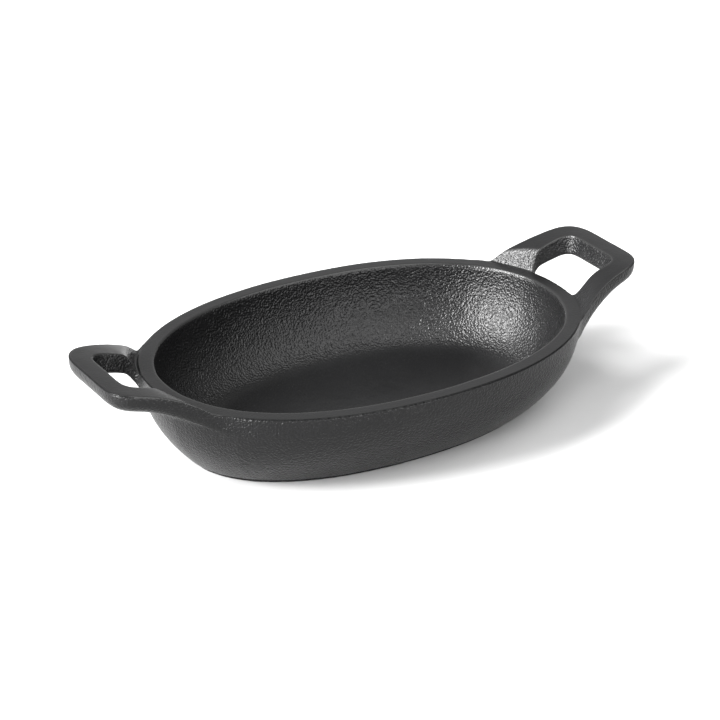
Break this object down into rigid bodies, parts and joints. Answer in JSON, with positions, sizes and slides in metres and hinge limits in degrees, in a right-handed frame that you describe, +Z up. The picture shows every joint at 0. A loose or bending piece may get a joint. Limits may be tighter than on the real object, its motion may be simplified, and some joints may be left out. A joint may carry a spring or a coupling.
{
  "type": "oval casserole",
  "caption": "Oval cast-iron casserole: a curved bowl with a broad flat rim on a low base, and a raised loop handle at each end, for baking and serving.",
  "frame": {"origin": "under the middle of the base, on the surface that the dish stands on", "axes": "+X along the bowl's length towards the right handle, +Y across it towards the rear, +Z up"},
  "size_m": [0.232, 0.122, 0.0478],
  "materials": {
    "cast_iron": "matt black seasoned sand-cast surface with a fine pebbled grain"
  },
  "bodies": {
    "root": {"base_pad": "cast_iron", "bowl_floor": "cast_iron", "bowl_heel": "cast_iron", "bowl_wall": "cast_iron", "bowl_rim": "cast_iron", "left_grip": "cast_iron", "left_front_arm": "cast_iron", "left_rear_arm": "cast_iron", "right_grip": "cast_iron", "right_front_arm": "cast_iron", "right_rear_arm": "cast_iron"}
  },
  "joints": []
}
